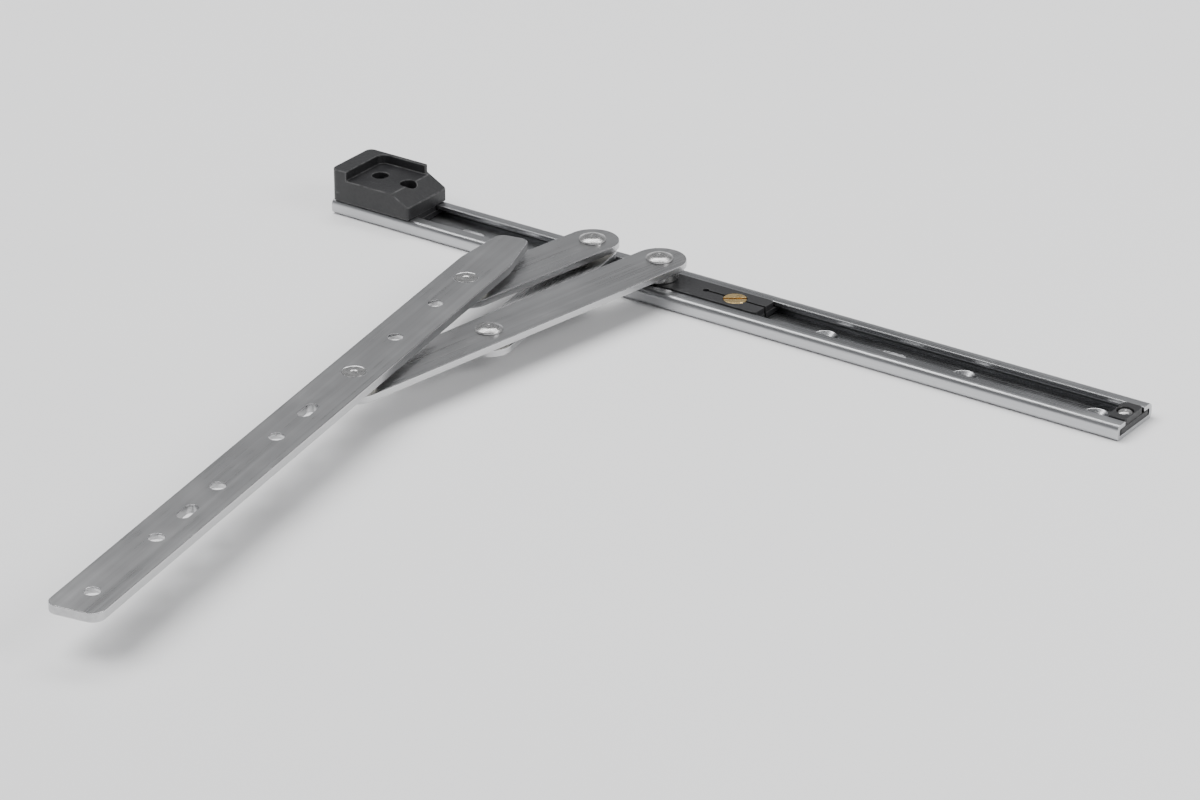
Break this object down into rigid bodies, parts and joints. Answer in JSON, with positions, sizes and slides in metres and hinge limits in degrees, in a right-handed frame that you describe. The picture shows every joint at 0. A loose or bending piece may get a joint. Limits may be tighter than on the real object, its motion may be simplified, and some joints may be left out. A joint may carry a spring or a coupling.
{
  "type": "friction stay hinge",
  "caption": "Side-hung casement friction stay: a channel track with an end cap and sliding friction shoe, riveted link, long and short arms, and a flat vent bar, standing open.",
  "frame": {"origin": "centre of the track's underside, the face that lies on the fixed window frame", "axes": "+X along the track towards the end cap at the hinge jamb, +Y towards the side the sash opens to, +Z from the track up to the vent bar and the sash"},
  "size_m": [0.308, 0.3132, 0.017],
  "materials": {
    "stainless_steel": "satin, rolled along the strip",
    "rivet_steel": "smooth",
    "black_nylon": "fine moulded grain",
    "washer_nylon": "smooth, natural",
    "brass": "machined"
  },
  "bodies": {
    "root": {"track": "stainless_steel", "end_cap": "black_nylon", "end_cap_rivet_1": "rivet_steel", "end_cap_rivet_2": "rivet_steel", "track_end_plug": "black_nylon", "end_plug_rivet": "rivet_steel", "opening_stop_rivet": "rivet_steel", "frame_pivot_rivet": "rivet_steel", "frame_pivot_bush": "stainless_steel", "frame_pivot_washer": "washer_nylon"},
    "link_arm": {"link_arm": "stainless_steel", "cross_pivot_rivet": "rivet_steel", "cross_pivot_washer": "washer_nylon"},
    "long_arm": {"long_arm": "stainless_steel"},
    "shoe": {"friction_shoe": "black_nylon", "shoe_rivet": "rivet_steel", "shoe_spacer": "stainless_steel", "shoe_backing_washer": "stainless_steel"},
    "friction_screw": {"friction_screw": "brass"},
    "vent_bar": {"vent_bar": "stainless_steel", "long_pivot_rivet": "rivet_steel", "long_pivot_washer": "washer_nylon", "short_pivot_rivet": "rivet_steel", "short_pivot_washer": "washer_nylon"},
    "short_arm": {"short_arm": "stainless_steel"}
  },
  "joints": [
    {"name": "link_arm_swing", "type": "hinge", "parent": "root", "child": "link_arm", "pos_m": [0.052, 0, 0], "axis": [0, 0, 1], "range_deg": [0, 80]},
    {"name": "long_arm_swing", "type": "hinge", "parent": "link_arm", "child": "long_arm", "pos_m": [0.03846, 0.07681, 0], "axis": [0, 0, 1], "range_deg": [-160, 0]},
    {"name": "shoe_pivot", "type": "hinge", "parent": "long_arm", "child": "shoe", "pos_m": [0.02491, 0, 0], "axis": [0, 0, 1], "range_deg": [0, 80]},
    {"name": "vent_bar_pivot", "type": "hinge", "parent": "long_arm", "child": "vent_bar", "pos_m": [0.04853, 0.13393, 0], "axis": [0, 0, 1], "range_deg": [0, 160]},
    {"name": "short_arm_swing", "type": "hinge", "parent": "root", "child": "short_arm", "pos_m": [0.052, 0, 0], "axis": [0, 0, 1], "range_deg": [-80, 0]},
    {"name": "friction_screw_turn", "type": "hinge", "parent": "shoe", "child": "friction_screw", "pos_m": [-0.00509, 0, 0], "axis": [0, 0, 1], "range_deg": [-180, 180]}
  ],
  "couplings": [
    {"joint": "long_arm_swing", "follows": "link_arm_swing", "ratio": -2},
    {"joint": "shoe_pivot", "follows": "link_arm_swing", "ratio": 1},
    {"joint": "vent_bar_pivot", "follows": "link_arm_swing", "ratio": 2},
    {"joint": "short_arm_swing", "follows": "link_arm_swing", "ratio": -1}
  ]
}
